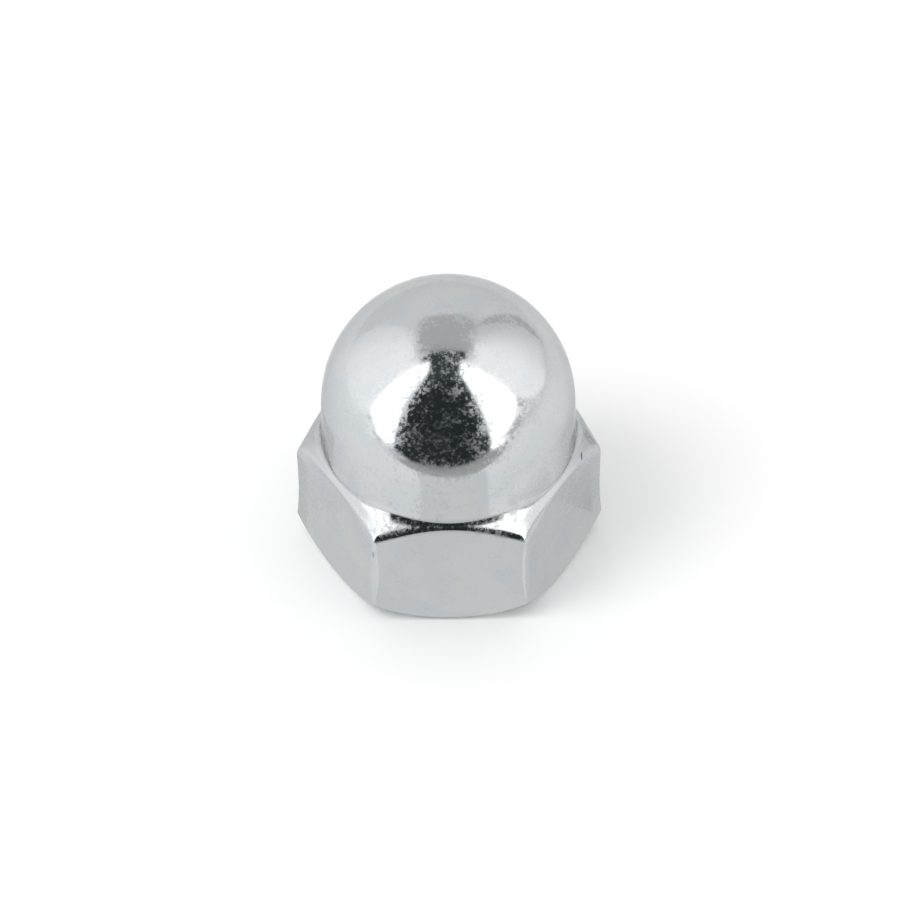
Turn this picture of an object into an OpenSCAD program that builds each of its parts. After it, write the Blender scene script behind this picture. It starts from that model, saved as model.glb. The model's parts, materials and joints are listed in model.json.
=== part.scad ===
// Domed cap nut (acorn nut): a hexagon whose threaded hole is closed by a round dome.
// Millimetres. The thread axis is Z, the bearing face lies on z = 0 and the dome points up.
// Two of the six flats face -Y and +Y, and two corners point along -X and +X.
// The hole is drawn as drilled, before tapping: its wall is where the thread's crests lie.

/* [Hexagon] */
// Width across the flats
across_flats = 13; // [10:0.1:18]
// Height of the circle where the dome meets the shoulder
hex_height = 6.4; // [5:0.1:8]
// Slope of the conical shoulder around the dome, in degrees from level
shoulder_angle = 38; // [20:1:45]

/* [Bearing end] */
// How far the edge of the flat bearing ring lies inside the flats
bearing_inset = 0.3; // [0.1:0.05:1]
// Height that the rounding around the bearing end reaches on the corners
corner_round_height = 1.1; // [0.6:0.05:1.6]
// How far that rounding stands proud of a straight chamfer
corner_round_bulge = 0.09; // [0.03:0.01:0.2]

/* [Corner edges] */
// Depth of the slight hollow along each corner edge, at its middle
corner_hollow = 0.08; // [0.02:0.01:0.15]
// Length of full corner left above and below the hollow
corner_end = 0.6; // [0.05:0.05:1]

/* [Dome] */
// Height of the whole nut
total_height = 14.9; // [12.5:0.1:20]
// How far the round dome's widest circle lies inside the flats
dome_inset = 0.275; // [0.2:0.025:1]
// How far the dome's wall spreads between that circle and the shoulder
neck_flare = 0.055; // [0.005:0.005:0.15]

/* [Threaded hole] */
// Nominal diameter of the thread
thread_d = 8; // [6:0.5:9.6]
// Pitch of the thread
thread_pitch = 1.25; // [1:0.25:1.5]
// How much wider the hole is drilled than the nominal diameter less one pitch
drill_allowance = 0.05; // [0:0.01:0.15]
// Point angle of the drill
drill_angle = 118; // [90:1:140]
// Metal left between the drill's point and the top of the dome
roof_thickness = 1.86; // [1.2:0.01:4]
// Full angle of the countersink at the mouth
countersink_angle = 120; // [90:5:120]
// How much wider the countersink's mouth is than the thread
countersink_extra = 0.4; // [0.2:0.1:0.8]

/* [Hidden] */
$fn = 144;

// Distance that a cut or a blank runs on past the metal
past = 1;

flat_r = across_flats / 2;
corner_r = flat_r / cos(30);
bearing_r = flat_r - bearing_inset;
dome_r = flat_r - dome_inset;
neck_r = dome_r + neck_flare;
dome_centre_z = total_height - dome_r;
shoulder_corner_z = hex_height - (corner_r - neck_r) * tan(shoulder_angle);

hole_r = (thread_d - thread_pitch + drill_allowance) / 2;
mouth_r = (thread_d + countersink_extra) / 2;
countersink_depth = (mouth_r - hole_r) / tan(countersink_angle / 2);
drill_point_height = hole_r / tan(drill_angle / 2);
hole_depth = total_height - roof_thickness - drill_point_height;

// Radius of the arc that spans a chord and rises by a given height in its middle
function arc_radius(chord, rise) = (chord * chord / 4 + rise * rise) / (2 * rise);

// Half section of the turned blank: the bearing ring, the rounding that leaves it and
// the conical shoulder. The rounding and the shoulder run on past the hexagon's corners.
module blank_section() {
    run = corner_r - bearing_r;
    chord = norm([run, corner_round_height]);
    slope = atan(corner_round_height / run);
    radius = arc_radius(chord, corner_round_bulge);
    back = radius - corner_round_bulge;
    centre_r = bearing_r + run / 2 - back * sin(slope);
    centre_z = corner_round_height / 2 + back * cos(slope);
    core_r = max(centre_r, bearing_r / 2);
    rim_r = corner_r + past;
    intersection() {
        union() {
            square([core_r, hex_height]);
            translate([centre_r, centre_z]) circle(r = radius);
            translate([0, (corner_round_height + centre_z) / 2]) square([rim_r, hex_height]);
        }
        polygon([
            [0, 0],
            [rim_r, 0],
            [rim_r, hex_height - (rim_r - neck_r) * tan(shoulder_angle)],
            [neck_r, hex_height],
            [0, hex_height],
        ]);
    }
}

// Ring-shaped cutter for the slight hollow along the corner edges
module corner_hollow_cutter() {
    low_z = corner_round_height + corner_end;
    high_z = shoulder_corner_z - corner_end;
    radius = arc_radius(high_z - low_z, corner_hollow);
    rotate_extrude()
        translate([corner_r - corner_hollow + radius, (low_z + high_z) / 2])
            circle(r = radius);
}

// Hexagon with its bearing end rounded and its shoulder coned
module hexagon_body() {
    difference() {
        intersection() {
            cylinder(r = corner_r, h = hex_height, $fn = 6);
            rotate_extrude() blank_section();
        }
        corner_hollow_cutter();
    }
}

// Dome: a half ball on a wall that spreads slightly towards the shoulder
module dome() {
    wall_height = dome_centre_z - hex_height;
    translate([0, 0, hex_height]) cylinder(r1 = neck_r, r2 = dome_r, h = wall_height);
    intersection() {
        translate([0, 0, dome_centre_z]) sphere(r = dome_r);
        translate([0, 0, dome_centre_z]) cylinder(r = dome_r + past, h = dome_r + past);
    }
}

// Blind hole: countersunk mouth, drilled wall and the cone left by the drill's point
module blind_hole() {
    rotate_extrude()
        polygon([
            [0, -past],
            [mouth_r + past * tan(countersink_angle / 2), -past],
            [hole_r, countersink_depth],
            [hole_r, hole_depth],
            [0, hole_depth + drill_point_height],
        ]);
}

module cap_nut() {
    color("lightsteelblue")
    difference() {
        union() {
            hexagon_body();
            dome();
        }
        blind_hole();
    }
}

cap_nut();
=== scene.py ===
"""Looks of the domed cap nut: bright zinc plate over steel, on a pale floor in soft studio light."""
import json
from math import atan2, cos, hypot, pi, radians, sin, sqrt, tan

import bpy
from mathutils import Matrix, Vector


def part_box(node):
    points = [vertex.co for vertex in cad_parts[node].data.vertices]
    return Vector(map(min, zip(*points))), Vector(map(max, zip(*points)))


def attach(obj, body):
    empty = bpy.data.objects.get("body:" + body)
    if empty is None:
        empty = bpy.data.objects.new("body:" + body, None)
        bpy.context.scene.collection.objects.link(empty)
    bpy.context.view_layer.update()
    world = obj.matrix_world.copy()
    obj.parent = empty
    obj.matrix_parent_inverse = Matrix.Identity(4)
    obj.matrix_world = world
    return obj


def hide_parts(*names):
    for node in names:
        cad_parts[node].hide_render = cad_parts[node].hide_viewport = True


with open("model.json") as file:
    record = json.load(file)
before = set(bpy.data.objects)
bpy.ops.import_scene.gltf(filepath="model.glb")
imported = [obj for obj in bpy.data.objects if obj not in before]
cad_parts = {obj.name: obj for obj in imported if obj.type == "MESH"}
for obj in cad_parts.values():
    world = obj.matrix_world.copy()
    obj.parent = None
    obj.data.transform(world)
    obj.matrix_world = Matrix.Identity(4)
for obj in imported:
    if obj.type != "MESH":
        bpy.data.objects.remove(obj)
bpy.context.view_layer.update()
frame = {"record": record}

NODE = "cap_nut"
MM = 0.001

# Sizes in millimetres. What the frame holds is measured on it.
LOW, HIGH = (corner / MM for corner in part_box(NODE))
THREAD_MOUNT = next(m for m in frame["record"]["mounts"] if m["name"] == "thread")
FLAT_R = (HIGH.y - LOW.y) / 2
TOP_Z = HIGH.z
HOLE_R = THREAD_MOUNT["dims"]["r_mm"]

# Outside, with the CAD's values: the hexagon, the rounding around its bearing end, the conical
# shoulder and the dome
SIDES = 6
HALF_SIDE = pi / SIDES
HEX_HEIGHT = 6.4
SHOULDER_SLOPE = radians(38)
BEARING_INSET = 0.3
ROUND_HEIGHT = 1.1
ROUND_BULGE = 0.09
DOME_INSET = 0.275
NECK_FLARE = 0.055
CORNER_R = FLAT_R / cos(HALF_SIDE)
BEARING_R = FLAT_R - BEARING_INSET
DOME_R = FLAT_R - DOME_INSET
NECK_R = DOME_R + NECK_FLARE
DOME_Z = TOP_Z - DOME_R

# Hole: countersunk, tapped M8 x 1.25 right hand, and drilled to a point. The thread's turns are only
# here, as the CAD has the wall as drilled.
THREAD_R = 4.0
PITCH = 1.25
THREAD_HALF_ANGLE = radians(30)
FLANK = (THREAD_R - HOLE_R) * tan(THREAD_HALF_ANGLE)
ROOT_FLAT = PITCH / 8
FULL_THREAD_Z = 8.6
LAST_THREAD_Z = 10.4
MOUTH_R = 4.2
MOUTH_HALF_ANGLE = radians(60)
DRILL_HALF_ANGLE = radians(59)
HOLE_DEPTH = THREAD_MOUNT["dims"]["length_mm"] + (MOUTH_R - HOLE_R) / tan(MOUTH_HALF_ANGLE)
POINT_Z = HOLE_DEPTH + HOLE_R / tan(DRILL_HALF_ANGLE)

# Radius of the rounding on each edge, left by forming and plating
BEARING_EDGE = 0.2
BASE_EDGE = 0.12
SHOULDER_EDGE = 0.8
NECK_EDGE = 1.0
DOME_BLEND = 15.0
# A rounding takes at most this share of the stretch on either side of it
LONGEST_CUT = 0.4
# The vertical corner edges: radius at the low end, halfway and at the high end, the heights of
# those ends, and the power that shapes the swelling between them
CORNER_EDGE_LOW = 0.08
CORNER_EDGE_MIDDLE = 0.62
CORNER_EDGE_HIGH = 0.30
CORNER_LOW_Z = 1.2
CORNER_HIGH_Z = 4.9
CORNER_SWELL = 0.8

# Steps of the mesh along each stretch of the outside, round each edge, and in the hole
BEARING_STEPS = 4
BASE_STEPS = 9
SIDE_STEPS = 15
SHOULDER_STEPS = 7
WALL_STEPS = 7
DOME_STEPS = 44
EDGE_STEPS = 8
STEPS_PER_PITCH = 20
POINT_STEPS = 8
# Columns of the mesh: how far from a corner they stand close together, the steps over that angle,
# and the steps from there to the middle of a flat
CLOSE_TURN = radians(3.6)
CLOSE_STEPS = 9
FLAT_STEPS = 12
# Share of a stretch over which its heading is measured
NUDGE = 0.02


# ---------------------------------------------------------------- outline of the nut

def corner_rounding(z):
    """Radius of the rounding on the vertical corner edges, widest about halfway up."""
    share = (z - CORNER_LOW_Z) / (CORNER_HIGH_Z - CORNER_LOW_Z)
    share = min(max(share, 0), 1)
    end = CORNER_EDGE_LOW + (CORNER_EDGE_HIGH - CORNER_EDGE_LOW) * share
    return end + (CORNER_EDGE_MIDDLE - end) * sin(pi * share) ** CORNER_SWELL


def hexagon_r(turn, z):
    """Distance from the axis to the hexagon's side, turn being the angle from the nearest corner."""
    edge = corner_rounding(z)
    centre = (FLAT_R - edge) / cos(HALF_SIDE)
    if abs(turn) < atan2(edge * sin(HALF_SIDE), centre + edge * cos(HALF_SIDE)):
        return centre * cos(turn) + sqrt(edge ** 2 - (centre * sin(turn)) ** 2)
    return FLAT_R / cos(HALF_SIDE - abs(turn))


def shoulder_z(r):
    """Height of the conical shoulder at a distance from the axis."""
    return HEX_HEIGHT - (r - NECK_R) * tan(SHOULDER_SLOPE)


# A stretch of the section is a function of t, which gives its (r, z) place as t goes from 0 to 1

def line(a, b):
    """A straight stretch from a to b."""
    return lambda t: (a[0] + (b[0] - a[0]) * t, a[1] + (b[1] - a[1]) * t)


def arc(centre, radius, start, end):
    """A round stretch between two angles."""
    return lambda t: (centre[0] + radius * cos(start + (end - start) * t),
                      centre[1] + radius * sin(start + (end - start) * t))


def side(turn, low_z, high_z):
    """The hexagon's side between two heights, which is bowed where the corner rounding swells."""
    def place(t):
        z = low_z + (high_z - low_z) * t
        return hexagon_r(turn, z), z
    return place


def base_arc():
    """Centre and radius of the rounding that runs from the bearing ring up the corners."""
    run = CORNER_R - BEARING_R
    chord = hypot(run, ROUND_HEIGHT)
    radius = (chord ** 2 / 4 + ROUND_BULGE ** 2) / (2 * ROUND_BULGE)
    back = radius - ROUND_BULGE
    centre_r = BEARING_R + run / 2 - back * ROUND_HEIGHT / chord
    centre_z = ROUND_HEIGHT / 2 + back * run / chord
    return centre_r, centre_z, radius


def base(turn):
    """The rounding from the bearing ring up to the hexagon's side, and its length."""
    centre_r, centre_z, radius = base_arc()
    # The side's distance changes with height near a corner, so where they meet takes two steps
    side_r = hexagon_r(turn, ROUND_HEIGHT)
    side_r = hexagon_r(turn, centre_z - sqrt(radius ** 2 - (side_r - centre_r) ** 2))
    start = atan2(-centre_z, BEARING_R - centre_r)
    end = -atan2(sqrt(radius ** 2 - (side_r - centre_r) ** 2), side_r - centre_r)
    return arc((centre_r, centre_z), radius, start, end), radius * (end - start)


def section(turn):
    """Outer section from the countersink's mouth round to the top of the dome, as (r, z) points.
    Every column has the same number of points, so the edges run along rows of the mesh."""
    rounding, rounding_length = base(turn)
    low_z = rounding(1)[1]
    high_r = hexagon_r(turn, shoulder_z(hexagon_r(turn, HEX_HEIGHT)))
    high_z = shoulder_z(high_r)
    shoulder_length = hypot(high_r - NECK_R, HEX_HEIGHT - high_z)
    neck = (NECK_R, HEX_HEIGHT)
    # Each stretch, its length, its steps and the rounding of the edge that it starts at
    return join([
        (line((MOUTH_R, 0), (BEARING_R, 0)), BEARING_R - MOUTH_R, BEARING_STEPS, 0),
        (rounding, rounding_length, BASE_STEPS, BEARING_EDGE),
        (side(turn, low_z, high_z), high_z - low_z, SIDE_STEPS, BASE_EDGE),
        (line((high_r, high_z), neck), shoulder_length, SHOULDER_STEPS, SHOULDER_EDGE),
        (line(neck, (DOME_R, DOME_Z)), DOME_Z - HEX_HEIGHT, WALL_STEPS, NECK_EDGE),
        (arc((0, DOME_Z), DOME_R, 0, pi / 2), DOME_R * pi / 2, DOME_STEPS, DOME_BLEND),
    ])


def join(stretches):
    """One line of points through the stretches, with the edge between each two rounded."""
    cuts = [0]
    for (before, before_length, _, _), (after, after_length, _, edge) in zip(stretches, stretches[1:]):
        heading_in = Vector(before(1)) - Vector(before(1 - NUDGE))
        heading_out = Vector(after(NUDGE)) - Vector(after(0))
        cut = edge * tan(heading_in.angle(heading_out) / 2)
        cuts.append(min(cut, LONGEST_CUT * before_length, LONGEST_CUT * after_length))
    cuts.append(0)
    points = []
    for i, (stretch, length, steps, edge) in enumerate(stretches):
        first = cuts[i] / length
        last = 1 - cuts[i + 1] / length
        if edge:
            points += rounded(points[-1], stretch(0), stretch(first))
        if edge or not points:
            points.append(Vector(stretch(first)))
        points += [Vector(stretch(first + (last - first) * j / steps)) for j in range(1, steps + 1)]
    return points


def rounded(before, corner, after):
    """Points of the circular arc that leaves before towards corner and arrives at after."""
    a, p, b = (Vector(place) for place in (before, corner, after))
    weight = cos((p - a).angle(b - p) / 2)
    points = []
    for i in range(1, EDGE_STEPS):
        t = i / EDGE_STEPS
        share_a = (1 - t) ** 2
        share_p = 2 * weight * t * (1 - t)
        share_b = t * t
        points.append((a * share_a + p * share_p + b * share_b) / (share_a + share_p + share_b))
    return points


# ---------------------------------------------------------------- hole

def hole_r(angle, z):
    """Distance from the axis to the wall of the hole: countersink, thread or drilled wall."""
    place = (z - PITCH * angle / (2 * pi)) % PITCH
    from_root = abs(place - PITCH / 2)
    depth = (THREAD_R - HOLE_R) * min(max(1 - (from_root - ROOT_FLAT / 2) / FLANK, 0), 1)
    fade = min(max((LAST_THREAD_Z - z) / (LAST_THREAD_Z - FULL_THREAD_Z), 0), 1)
    mouth = MOUTH_R - z * tan(MOUTH_HALF_ANGLE)
    return max(HOLE_R + depth * fade, mouth)


def hole_rings(angles):
    """Rings of (r, z) points from just below the drill's point down to just above the mouth."""
    rings = []
    for i in range(1, POINT_STEPS):
        share = i / POINT_STEPS
        z = HOLE_DEPTH + (POINT_Z - HOLE_DEPTH) * (1 - share)
        rings.append([(HOLE_R * share, z) for _ in angles])
    steps = round(HOLE_DEPTH / PITCH * STEPS_PER_PITCH)
    for i in range(steps, 0, -1):
        z = HOLE_DEPTH * i / steps
        rings.append([(hole_r(angle, z), z) for angle in angles])
    return rings


# ---------------------------------------------------------------- mesh

def column_turns():
    """Angles of one side's columns from its corner, close together where the corner is rounded."""
    flat = HALF_SIDE - CLOSE_TURN
    close = [CLOSE_TURN * (i / CLOSE_STEPS) for i in range(-CLOSE_STEPS, CLOSE_STEPS + 1)]
    wide = [CLOSE_TURN + flat * i / FLAT_STEPS for i in range(1, FLAT_STEPS + 1)]
    return close + wide + [2 * HALF_SIDE - turn for turn in reversed(wide[:-1])]


def nut_rings(turns, angles):
    """Rings of (r, z) points down the hole, across the bearing face and up to below the dome's top."""
    columns = [section(turn if turn <= HALF_SIDE else turn - 2 * HALF_SIDE) for turn in turns]
    rings = hole_rings(angles)
    for row in range(len(columns[0]) - 1):
        rings.append([tuple(column[row]) for column in columns] * SIDES)
    return rings


def ring_faces(rings, columns):
    """Faces between each two rings, and the fans that close the drill's point and the dome's top."""
    faces = []
    for ring in range(rings - 1):
        low = ring * columns
        high = low + columns
        for i in range(columns):
            j = (i + 1) % columns
            faces.append((low + i, low + j, high + j, high + i))
    last = (rings - 1) * columns
    point = rings * columns
    top = point + 1
    for i in range(columns):
        j = (i + 1) % columns
        faces.append((point, j, i))
        faces.append((last + i, last + j, top))
    return faces


def nut_mesh():
    """The whole nut as one closed mesh of rings."""
    turns = column_turns()
    angles = [corner * 2 * HALF_SIDE + turn for corner in range(SIDES) for turn in turns]
    rings = nut_rings(turns, angles)
    points = []
    for ring in rings:
        points += [(r * cos(a) * MM, r * sin(a) * MM, z * MM) for a, (r, z) in zip(angles, ring)]
    points += [(0, 0, POINT_Z * MM), (0, 0, TOP_Z * MM)]
    mesh = bpy.data.meshes.new("nut")
    mesh.from_pydata(points, [], ring_faces(len(rings), len(angles)))
    mesh.validate()
    mesh.polygons.foreach_set("use_smooth", [True] * len(mesh.polygons))
    return mesh


def nut():
    piece = bpy.data.objects.new("nut", nut_mesh())
    bpy.context.scene.collection.objects.link(piece)
    piece.data.materials.append(zinc_plate())
    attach(piece, "root")
    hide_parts(NODE)


# ---------------------------------------------------------------- material

# The plate drifts between two colours, and turns towards a third where it is marked, and on the
# shoulder, where that darkening is painted shade
PLATE_COOL = (0.560, 0.590, 0.610)
PLATE_WARM = (0.600, 0.610, 0.615)
MARK_AND_SHADE_COLOUR = (0.14, 0.13, 0.12)
# Tint of the reflection near grazing angles, which dims it there
EDGE_TINT = 0.72

# Sizes across: the drift of colour, the roll of the surface, the patches in which the grain gathers
# and the grain itself
DRIFT_MM = 2.5
ROLL_MM = 3.0
PATCH_MM = 0.9
GRAIN_MM = 0.22
# Depths of the roll and of the grain
ROLL_DEPTH_MM = 0.004
GRAIN_DEPTH_MM = 0.0018
# How much a patch adds to the grain in it, and the roughness between the grains and on them
PATCH_WEIGHT = 0.35
SMOOTH = 0.07
ROUGH = 0.40
# Noise levels between which the colour turns from cool to warm, and the surface from smooth to rough
DRIFT_LEVELS = (0.4, 0.6)
GRAIN_LEVELS = (0.61, 0.84)

# How much darker the shoulder's colour is made, which is painted shade that dims its reflection, and how
# much rougher its lathe-cut finish is, and how far from its cone that begins to fade and is gone
SHOULDER_PAINTED_SHADE = 0.14
SHOULDER_ROUGH = 0.05
SHOULDER_FADE_MM = (0.1, 0.35)

# Small dark marks left by handling, in millimetres: where they are, how far they reach along X, Y
# and Z, and how dark they are. A mark fades between two shares of its reach.
MARKS = [
    ((-3.73, -6.40, 4.50), (0.06, 0.40, 0.26), 0.45),
    ((6.50, -1.35, 6.10), (0.045, 0.30, 0.22), 0.85),
    ((6.70, -1.62, 5.95), (0.16, 0.10, 0.06), 0.40),
]
MARK_FADE = (0.5, 1.1)


def node(tree, kind, **values):
    """Adds a node and sets its properties, or its inputs where a name is an input's."""
    made = tree.nodes.new(kind)
    for name, value in values.items():
        if hasattr(made, name):
            setattr(made, name, value)
        else:
            made.inputs[name.replace("_", " ")].default_value = value
    return made


def feed(tree, socket, value):
    """Gives an input its value, which is another node's output or a constant."""
    if isinstance(value, bpy.types.NodeSocket):
        tree.links.new(value, socket)
    else:
        socket.default_value = value


def maths(tree, operation, *values):
    made = node(tree, "ShaderNodeMath", operation=operation)
    for socket, value in zip(made.inputs, values):
        feed(tree, socket, value)
    return made.outputs["Value"]


def vector_maths(tree, operation, *values, gives="Vector"):
    made = node(tree, "ShaderNodeVectorMath", operation=operation)
    for socket, value in zip(made.inputs, values):
        feed(tree, socket, value)
    return made.outputs[gives]


def along(tree, place, axis):
    """A place's distance along one axis."""
    made = tree.nodes.new("ShaderNodeSeparateXYZ")
    tree.links.new(place, made.inputs["Vector"])
    return made.outputs[axis]


def noise(tree, place, grain_mm, detail=2.0, rough=0.5):
    """Noise whose features are grain_mm across."""
    made = node(tree, "ShaderNodeTexNoise", Scale=1 / (grain_mm * MM), Detail=detail, Roughness=rough)
    tree.links.new(place, made.inputs["Vector"])
    return made.outputs["Fac"]


def ramp(tree, value, low, high, to_low, to_high):
    """Maps value from low..high to to_low..to_high, smoothly and clamped."""
    made = node(tree, "ShaderNodeMapRange", interpolation_type="SMOOTHSTEP",
                From_Min=low, From_Max=high, To_Min=to_low, To_Max=to_high)
    tree.links.new(value, made.inputs["Value"])
    return made.outputs["Result"]


def mix(tree, share, a, b):
    """Colour a turning to colour b as share goes from 0 to 1."""
    made = node(tree, "ShaderNodeMix", data_type="RGBA")
    feed(tree, made.inputs["Factor"], share)
    feed(tree, made.inputs["A"], a)
    feed(tree, made.inputs["B"], b)
    return made.outputs["Result"]


def bump(tree, height, depth_mm, under=None):
    made = node(tree, "ShaderNodeBump", Strength=1.0, Distance=depth_mm * MM)
    tree.links.new(height, made.inputs["Height"])
    if under:
        tree.links.new(under, made.inputs["Normal"])
    return made.outputs["Normal"]


def marks(tree, place):
    """How dark the marks make the metal: 0 away from them, up to 1 in the middle of one."""
    darkest = 0
    for centre, reach, dark in MARKS:
        offset = vector_maths(tree, "SUBTRACT", place, Vector(centre) * MM)
        scaled = vector_maths(tree, "DIVIDE", offset, Vector(reach) * MM)
        away = vector_maths(tree, "LENGTH", scaled, gives="Value")
        darkest = maths(tree, "MAXIMUM", darkest, ramp(tree, away, *MARK_FADE, dark, 0))
    return darkest


def shoulder(tree, place):
    """1 on the shoulder, whose colour is darkened there as painted shade and whose finish is rougher, 0
    away from it.
    """
    slope = tan(SHOULDER_SLOPE)
    across = vector_maths(tree, "MULTIPLY", place, Vector((1, 1, 0)))
    r = vector_maths(tree, "LENGTH", across, gives="Value")
    # Height of the top that a cone through the place would have, against that of the shoulder's own
    top = maths(tree, "MULTIPLY_ADD", r, slope, along(tree, place, "Z"))
    above = maths(tree, "SUBTRACT", top, (HEX_HEIGHT + NECK_R * slope) * MM)
    near, far = SHOULDER_FADE_MM
    return ramp(tree, maths(tree, "ABSOLUTE", above), near * MM, far * MM, 1, 0)


def plate_colour(tree, place, on_shoulder):
    """Drifts between cool and warm, darker in the marks, and a little darker on the shoulder as painted
    shade.
    """
    drift = ramp(tree, noise(tree, place, DRIFT_MM, detail=3.0), *DRIFT_LEVELS, 0, 1)
    plate = mix(tree, drift, (*PLATE_COOL, 1), (*PLATE_WARM, 1))
    # The marks' real darkening, plus the painted shade that darkens the shoulder's colour
    marks_and_shade = maths(tree, "MULTIPLY_ADD", on_shoulder, SHOULDER_PAINTED_SHADE, marks(tree, place))
    return mix(tree, marks_and_shade, plate, (*MARK_AND_SHADE_COLOUR, 1))


def plate_roughness(tree, place, on_shoulder, grain):
    """Smooth with rougher grains that gather in patches, and a little rougher on the shoulder, which is
    cut on a lathe.
    """
    patch = noise(tree, place, PATCH_MM, detail=1.0)
    speckle = maths(tree, "MULTIPLY_ADD", patch, PATCH_WEIGHT, grain)
    sparkle = ramp(tree, speckle, *GRAIN_LEVELS, SMOOTH, ROUGH)
    return maths(tree, "MULTIPLY_ADD", on_shoulder, SHOULDER_ROUGH, sparkle)


def zinc_plate():
    """Bright zinc plate: a cool mirror with a fine sparkling grain and a faint roll of the surface."""
    material = bpy.data.materials.new("zinc_plate")
    material.use_nodes = True
    tree = material.node_tree
    shader = tree.nodes["Principled BSDF"]
    shader.inputs["Metallic"].default_value = 1.0
    shader.inputs["Specular Tint"].default_value = (EDGE_TINT, EDGE_TINT, EDGE_TINT, 1)
    place = tree.nodes.new("ShaderNodeTexCoord").outputs["Object"]
    on_shoulder = shoulder(tree, place)
    grain = noise(tree, place, GRAIN_MM, detail=6.0, rough=0.8)
    roll = bump(tree, noise(tree, place, ROLL_MM), ROLL_DEPTH_MM)
    tree.links.new(plate_colour(tree, place, on_shoulder), shader.inputs["Base Color"])
    tree.links.new(plate_roughness(tree, place, on_shoulder, grain), shader.inputs["Roughness"])
    tree.links.new(bump(tree, grain, GRAIN_DEPTH_MM, roll), shader.inputs["Normal"])
    return material


# ---------------------------------------------------------------- stage

# Brightness of the world, the lamp and each card that the metal mirrors
DAYLIGHT = 0.9
SIDE_LIGHT_WATTS = 1.2
SOFTBOX_LIGHT = 2.2
WALL_LIGHT = 1.32
WALL_LEFT_FAR_LIGHT = 1.05
WALL_RIGHT_FAR_LIGHT = 0.76
EDGE_LIGHT = 0.70
FRAME_LIGHT = 0.60
ROOF_LIGHT = 0.60
ROOM_LIGHT = 0.035
CEILING_LIGHT = 0.07
TABLE_FRONT_LIGHT = 0.50
NEAR_LIGHT = 0.88
NEAR_LEFT_LIGHT = 0.99
NEAR_RIGHT_LIGHT = 0.88
NEAR_CORNER_LIGHT = 1.05
# Colours of the cards: plain white, and the faint green blue of the dark room
WHITE = (1.0, 1.0, 1.0)
ROOM = (0.75, 0.95, 1.0)

# Places and sizes on the stage, in metres. The upright cards stand this far out on each side: the
# softboxes and the frame, the dim edge behind them, and the walls behind that.
SOFTBOX_X = 0.15
EDGE_X = 0.1515
WALL_X = 0.153
# The dark room's card on the camera's side, and the cards overhead
ROOM_Y = -0.40
CEILING_Z = 0.80
ROOF_Z = 0.79
# The level cards lie this far above the table. Where two overlap, the higher one shows.
FOOT_Z = 0.0004
BEYOND_Z = 0.0003
FRONT_Z = 0.0002
NEAR_Z = 0.0001
NEAR_CORNER_Z = 0.00005

FLOOR_HALF_WIDTH = 0.8
FLOOR_Z = -0.00002
FLOOR_WHITE = 0.95
FLOOR_ROUGHNESS = 0.9
FLOOR_SHINE = 0.1
SIDE_LIGHT_SIZE = 0.3
SIDE_LIGHT_PLACE = Vector((-0.35, -0.15, 0.5))

CAMERA_ELEVATION = radians(44.4)
CAMERA_ROLL = radians(0.6)
CAMERA_DISTANCE = 0.6
CAMERA_TARGET = Vector((0.00006, 0, 0.0053))
FIELD_WIDTH = 0.0442
SENSOR_WIDTH = 36.0


def glow(name, colour, strength, fade_y=None, to=0.0):
    """An even glow, or one that fades from strength to another value between two places along Y."""
    material = bpy.data.materials.new(name)
    material.use_nodes = True
    tree = material.node_tree
    tree.nodes.remove(tree.nodes["Principled BSDF"])
    shader = node(tree, "ShaderNodeEmission", Color=(*colour, 1), Strength=strength)
    tree.links.new(shader.outputs["Emission"], tree.nodes["Material Output"].inputs["Surface"])
    if fade_y:
        y = along(tree, tree.nodes.new("ShaderNodeTexCoord").outputs["Object"], "Y")
        tree.links.new(ramp(tree, y, *fade_y, strength, to), shader.inputs["Strength"])
    return material


def sheet(name, corners, material):
    """A flat piece of the stage, with one face."""
    mesh = bpy.data.meshes.new(name)
    mesh.from_pydata(corners, [], [range(len(corners))])
    mesh.materials.append(material)
    made = bpy.data.objects.new(name, mesh)
    bpy.context.scene.collection.objects.link(made)
    return made


def card(name, corners, material):
    """A sheet that only shows in the metal's reflections."""
    made = sheet(name, corners, material)
    made.visible_camera = False
    made.visible_diffuse = False
    made.visible_shadow = False


def upright(name, x, outline, strength, fade_y=None, to=0.0):
    """An upright white card square to X, its outline given as (y, z) points. It may fade along Y."""
    card(name, [(x, y, z) for y, z in outline], glow(name, WHITE, strength, fade_y, to))


def level(name, z, outline, colour, strength):
    """A level card, its outline given as (x, y) points."""
    card(name, [(x, y, z) for x, y in outline], glow(name, colour, strength))


def softboxes():
    """A softbox on each side of the camera, and its foot on the table."""
    upright("softbox_left", -SOFTBOX_X, [
        (-0.145, -0.003), (-0.068, 0.006), (-0.041, 0.028), (-0.078, 0.56), (-0.165, 0.46),
    ], SOFTBOX_LIGHT)
    upright("softbox_right", SOFTBOX_X, [
        (-0.205, 0.0), (-0.120, 0.014), (-0.079, 0.034), (-0.053, 0.060), (-0.130, 0.90), (-0.320, 0.90),
    ], SOFTBOX_LIGHT)
    level("softbox_left_foot", FOOT_Z, [
        (-0.044, -0.042), (-0.068, -0.043), (-0.150, -0.064), (-0.150, -0.145), (-0.048, -0.048),
    ], WHITE, SOFTBOX_LIGHT)
    level("softbox_right_foot", FOOT_Z, [
        (0.046, -0.061), (0.059, -0.063), (0.150, -0.108), (0.150, -0.205), (0.048, -0.074),
    ], WHITE, SOFTBOX_LIGHT)


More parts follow.
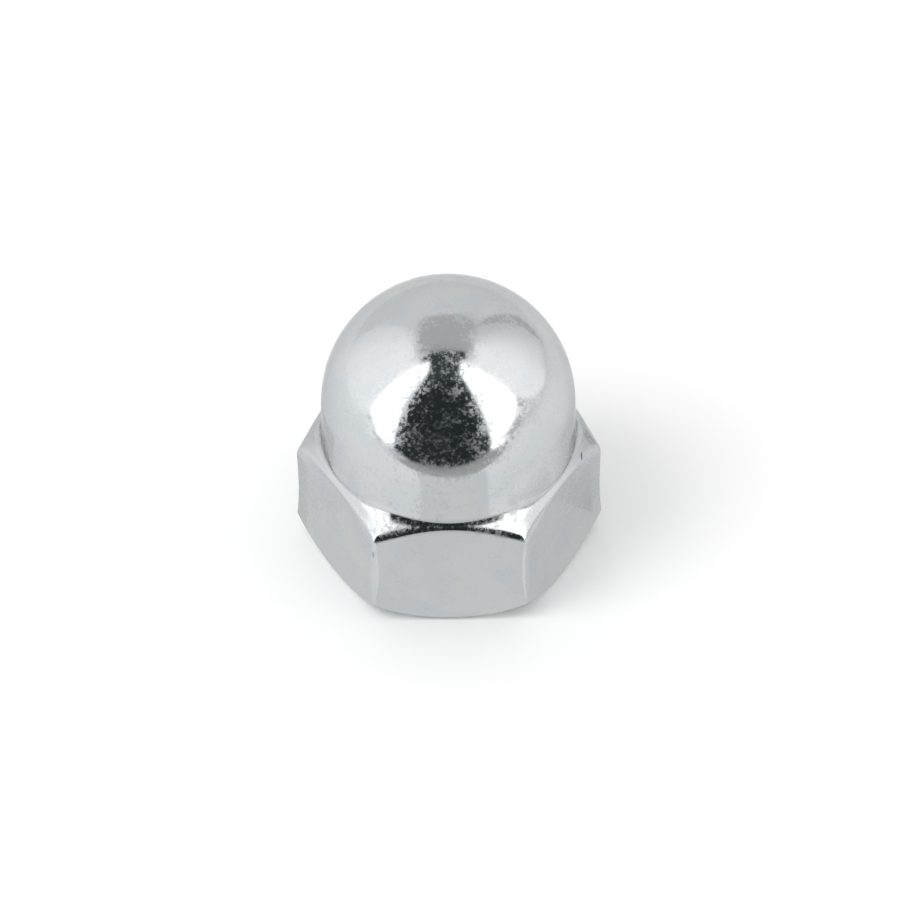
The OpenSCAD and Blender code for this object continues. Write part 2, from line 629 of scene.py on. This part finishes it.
def walls():
    """The pale side walls, which dim away from the camera, and the right one's dimmer surround."""
    upright("wall_left", -WALL_X, [
        (-0.04, 0.01), (0.030, -0.004), (0.090, -0.006), (0.140, 0.02),
        (0.160, 0.08), (0.150, 0.33), (-0.08, 0.33),
    ], WALL_LIGHT, fade_y=(0.01, 0.16), to=WALL_LEFT_FAR_LIGHT)
    upright("wall_right", WALL_X, [
        (-0.046, 0.053), (-0.009, 0.024), (0.023, 0.013), (0.060, 0.014),
        (0.120, 0.030), (0.155, 0.09), (0.170, 0.40), (-0.08, 0.40),
    ], WALL_LIGHT, fade_y=(0.0, 0.17), to=WALL_RIGHT_FAR_LIGHT)
    upright("edge_right", EDGE_X, [
        (-0.125, 0.0), (-0.071, 0.0), (-0.040, 0.034), (-0.040, 0.060),
        (-0.053, 0.066), (-0.085, 0.040), (-0.130, 0.020),
    ], EDGE_LIGHT)
    upright("frame_right", SOFTBOX_X, [
        (0.120, 0.004), (0.165, 0.022), (0.205, 0.05), (0.222, 0.11), (0.225, 0.33),
        (0.175, 0.33), (0.160, 0.12), (0.150, 0.06), (0.128, 0.03),
    ], FRAME_LIGHT)


def room():
    """The dark room between, above and below the softboxes, and the grey roof at the back."""
    card("room", [
        (-0.42, ROOM_Y, -0.01), (0.36, ROOM_Y, -0.01), (0.36, ROOM_Y, 1.3), (-0.42, ROOM_Y, 1.3),
    ], glow("room", ROOM, ROOM_LIGHT))
    level("room_above", CEILING_Z, [
        (-0.32, -0.5), (0.22, -0.5), (0.22, 0.0), (-0.32, 0.0),
    ], ROOM, CEILING_LIGHT)
    level("roof", ROOF_Z, [
        (-0.37, 0.0), (0.35, 0.0), (0.35, 0.40), (0.31, 0.58),
        (0.24, 0.63), (-0.25, 0.63), (-0.33, 0.58), (-0.37, 0.40),
    ], WHITE, ROOF_LIGHT)
    level("beyond_table", BEYOND_Z, [
        (-0.046, -0.045), (-0.018, -0.033), (0.0, -0.034), (0.016, -0.042), (0.047, -0.065),
        (0.150, -0.200), (0.290, -0.400), (-0.340, -0.400), (-0.150, -0.145),
    ], ROOM, ROOM_LIGHT)


def table_front():
    """The shaded front of the table, and its paler left end."""
    level("table_front", FRONT_Z, [
        (-0.020, -0.034), (0.0, -0.036), (0.016, -0.045), (0.060, -0.066), (0.150, -0.110),
        (0.150, -0.071), (0.083, -0.055), (0.021, -0.028), (0.008, -0.0225), (-0.008, -0.0225),
        (-0.024, -0.026),
    ], WHITE, TABLE_FRONT_LIGHT)
    level("table_front_left", FRONT_Z, [
        (-0.020, -0.034), (-0.024, -0.026), (-0.043, -0.028), (-0.120, -0.040),
        (-0.150, -0.066), (-0.068, -0.044), (-0.044, -0.043),
    ], WHITE, NEAR_LIGHT)


def table_near():
    """The table close to the nut, in front of each flat and of the front right corner."""
    level("table_near", NEAR_Z, [
        (-0.0042, -0.006), (-0.0042, -0.0120), (-0.0059, -0.0153), (-0.0088, -0.0225),
        (0.0118, -0.0225), (0.0071, -0.0133), (0.0050, -0.0100), (0.0042, -0.006),
    ], WHITE, NEAR_LIGHT)
    level("table_near_corner", NEAR_CORNER_Z, [
        (0.0035, -0.0060), (0.0070, -0.0135), (0.0105, -0.0115), (0.0060, -0.0050),
    ], WHITE, NEAR_CORNER_LIGHT)
    strip = [(-0.0042, -0.006), (-0.0042, -0.0135), (0.0042, -0.0135), (0.0042, -0.006)]
    lights = {
        -60: NEAR_LEFT_LIGHT,
        60: NEAR_RIGHT_LIGHT,
        -120: NEAR_LIGHT,
        120: NEAR_LIGHT,
        180: NEAR_LIGHT,
    }
    for turn, light in lights.items():
        sine = sin(radians(turn))
        cosine = cos(radians(turn))
        outline = [(x * cosine - y * sine, x * sine + y * cosine) for x, y in strip]
        level(f"table_near_{turn % 360}", NEAR_Z, outline, WHITE, light)


def floor():
    material = bpy.data.materials.new("floor")
    material.use_nodes = True
    shader = material.node_tree.nodes["Principled BSDF"]
    shader.inputs["Base Color"].default_value = (FLOOR_WHITE, FLOOR_WHITE, FLOOR_WHITE, 1)
    shader.inputs["Roughness"].default_value = FLOOR_ROUGHNESS
    shader.inputs["Specular IOR Level"].default_value = FLOOR_SHINE
    half = FLOOR_HALF_WIDTH
    outline = [(-half, -half), (half, -half), (half, half), (-half, half)]
    sheet("floor", [(x, y, FLOOR_Z) for x, y in outline], material)


def daylight():
    """Even white light from all round."""
    world = bpy.data.worlds.new("studio")
    world.use_nodes = True
    background = world.node_tree.nodes["Background"]
    background.inputs["Color"].default_value = (*WHITE, 1)
    background.inputs["Strength"].default_value = DAYLIGHT
    bpy.context.scene.world = world


def side_light():
    """A large soft lamp at the upper left, which the metal doesn't mirror."""
    data = bpy.data.lights.new("side_light", "AREA")
    data.size = SIDE_LIGHT_SIZE
    data.energy = SIDE_LIGHT_WATTS
    made = bpy.data.objects.new("side_light", data)
    bpy.context.scene.collection.objects.link(made)
    made.location = SIDE_LIGHT_PLACE
    made.rotation_euler = (-SIDE_LIGHT_PLACE).to_track_quat("-Z", "Y").to_euler()
    made.visible_glossy = False
    made.visible_camera = False


def camera():
    """A long lens that looks down on the flat facing -Y."""
    data = bpy.data.cameras.new("camera")
    data.sensor_width = SENSOR_WIDTH
    data.lens = SENSOR_WIDTH * CAMERA_DISTANCE / FIELD_WIDTH
    data.clip_start = 0.05
    data.clip_end = 5.0
    made = bpy.data.objects.new("camera", data)
    bpy.context.scene.collection.objects.link(made)
    back = Vector((0, -cos(CAMERA_ELEVATION), sin(CAMERA_ELEVATION)))
    facing = (-back).to_track_quat("-Z", "Y").to_matrix().to_4x4()
    roll = Matrix.Rotation(-CAMERA_ROLL, 4, "Z")
    made.matrix_world = Matrix.Translation(CAMERA_TARGET + back * CAMERA_DISTANCE) @ facing @ roll
    bpy.context.scene.camera = made


bpy.context.scene.view_settings.view_transform = "Standard"
camera()
daylight()
side_light()
floor()
softboxes()
walls()
room()
table_front()
table_near()
nut()
